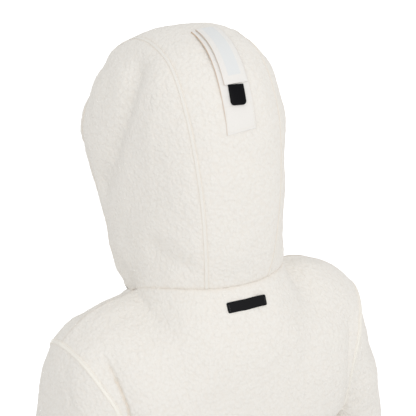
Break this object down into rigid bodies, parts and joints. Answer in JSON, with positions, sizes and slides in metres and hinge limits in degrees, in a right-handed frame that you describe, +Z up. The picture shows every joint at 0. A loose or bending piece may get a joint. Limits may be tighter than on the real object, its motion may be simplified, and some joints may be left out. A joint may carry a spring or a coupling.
{
  "type": "zip-up fleece hoodie",
  "caption": "Zip-up fleece hoodie in worn shape with the hood up: hollow body, two sleeves, three-panel hood with a strap on its middle line, and a front zip with a hinged pull.",
  "frame": {"origin": "middle of the neck opening at the height of the nape seam, where the wearer's shoulders carry the garment", "axes": "+Z up, -Y the way the wearer faces, +X the wearer's left"},
  "size_m": [0.5954, 0.3024, 0.9729],
  "materials": {
    "fleece": "curly pile",
    "twill": "matte weave",
    "tape": "smooth weave",
    "black_rubber": "gloss",
    "metal": "satin"
  },
  "bodies": {
    "garment": {"back": "fleece", "front_left": "fleece", "front_right": "fleece", "sleeve_left": "fleece", "sleeve_right": "fleece", "hood_side_left": "fleece", "hood_centre": "fleece", "hood_side_right": "fleece", "strap_base": "twill", "strap_tape": "tape", "strap_tab": "black_rubber", "back_label": "black_rubber", "zip_tape_left": "twill", "zip_tape_right": "twill", "zip_slider": "metal", "zip_box": "metal"},
    "pull": {"zip_pull": "metal"}
  },
  "joints": [
    {"name": "pull_swing", "type": "hinge", "parent": "garment", "child": "pull", "pos_m": [0, -0.11735, -0.11265], "axis": [-1, 0, 0], "range_deg": [0, 150]}
  ]
}
